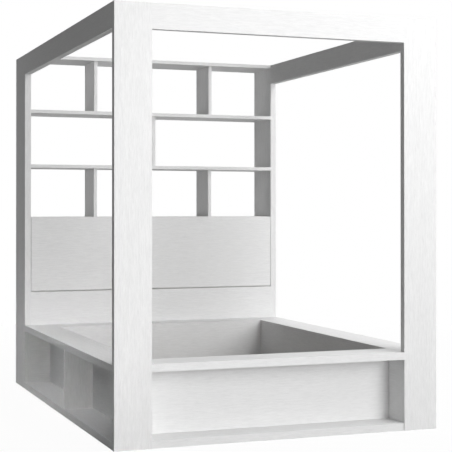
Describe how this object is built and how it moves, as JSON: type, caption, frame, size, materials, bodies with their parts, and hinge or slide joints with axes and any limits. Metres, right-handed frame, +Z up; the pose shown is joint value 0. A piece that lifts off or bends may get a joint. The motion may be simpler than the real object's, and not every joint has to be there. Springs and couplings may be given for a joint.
{
  "type": "canopy bed",
  "caption": "Canopy bed with a wide foot portal, a shelved headboard with a drop-down flap, and open niches round a sunken mattress well.",
  "frame": {"origin": "on the floor, at the middle of the bed's rectangular plan", "axes": "+Z up, +Y from the foot portal towards the bookcase at the head, +X to the right as seen from the foot"},
  "size_m": [2.042, 2.788, 2.5],
  "materials": {
    "white_board": "white laminate with an embossed wood grain, satin",
    "white_back_panel": "white lacquered fibreboard",
    "plain_softwood": "planed softwood",
    "grey_slat": "bent birch veneer wrapped in pale grey foil",
    "grey_plastic": "moulded",
    "ivory_plastic": "turned",
    "white_plastic": "moulded",
    "zinc_steel": "zinc plated"
  },
  "bodies": {
    "bed_frame": {"left_foot_post": "white_board", "right_foot_post": "white_board", "foot_beam": "white_board", "left_canopy_rail": "white_board", "right_canopy_rail": "white_board", "left_bookcase_side": "white_board", "right_bookcase_side": "white_board", "bookcase_top": "white_board", "upper_shelf": "white_board", "middle_shelf": "white_board", "compartment_shelf": "white_board", "compartment_floor": "white_board", "compartment_back": "white_back_panel", "top_left_divider": "white_board", "top_right_divider": "white_board", "middle_divider": "white_board", "low_left_divider": "white_board", "low_right_divider": "white_board", "compartment_left_partition": "white_board", "compartment_right_partition": "white_board", "base_left_partition": "white_board", "base_right_partition": "white_board", "base_panel": "white_board", "left_rim_board": "white_board", "right_rim_board": "white_board", "front_rim_board": "white_board", "back_ledge_board": "white_board", "ledge_batten": "plain_softwood", "left_niche_floor": "white_board", "right_niche_floor": "white_board", "foot_niche_floor": "white_board", "left_well_wall": "white_board", "right_well_wall": "white_board", "foot_well_wall": "white_board", "head_well_wall": "white_board", "left_niche_divider": "white_board", "right_niche_divider": "white_board", "left_slat_cleat": "plain_softwood", "right_slat_cleat": "plain_softwood", "centre_beam": "plain_softwood", "beam_hangers": "zinc_steel", "beam_legs": "plain_softwood", "levelling_feet": "grey_plastic", "left_slats": "grey_slat", "right_slats": "grey_slat", "slat_caps": "grey_plastic", "pivot_bushes": "ivory_plastic", "stop_plates": "zinc_steel", "magnetic_catches": "white_plastic", "well_corner_brackets": "zinc_steel", "fitting_screws": "zinc_steel", "shelf_dowels": "plain_softwood", "upright_dowels": "plain_softwood", "canopy_dowels": "plain_softwood", "platform_dowels": "plain_softwood"},
    "flap": {"headboard_flap": "white_board", "pivot_pins": "zinc_steel", "stop_arms": "zinc_steel", "stop_pins": "zinc_steel", "strike_plates": "zinc_steel"}
  },
  "joints": [
    {"name": "flap_tilt", "type": "hinge", "parent": "bed_frame", "child": "flap", "pos_m": [0, 1.062, 0.735], "axis": [1, 0, 0], "range_deg": [0, 90]}
  ]
}
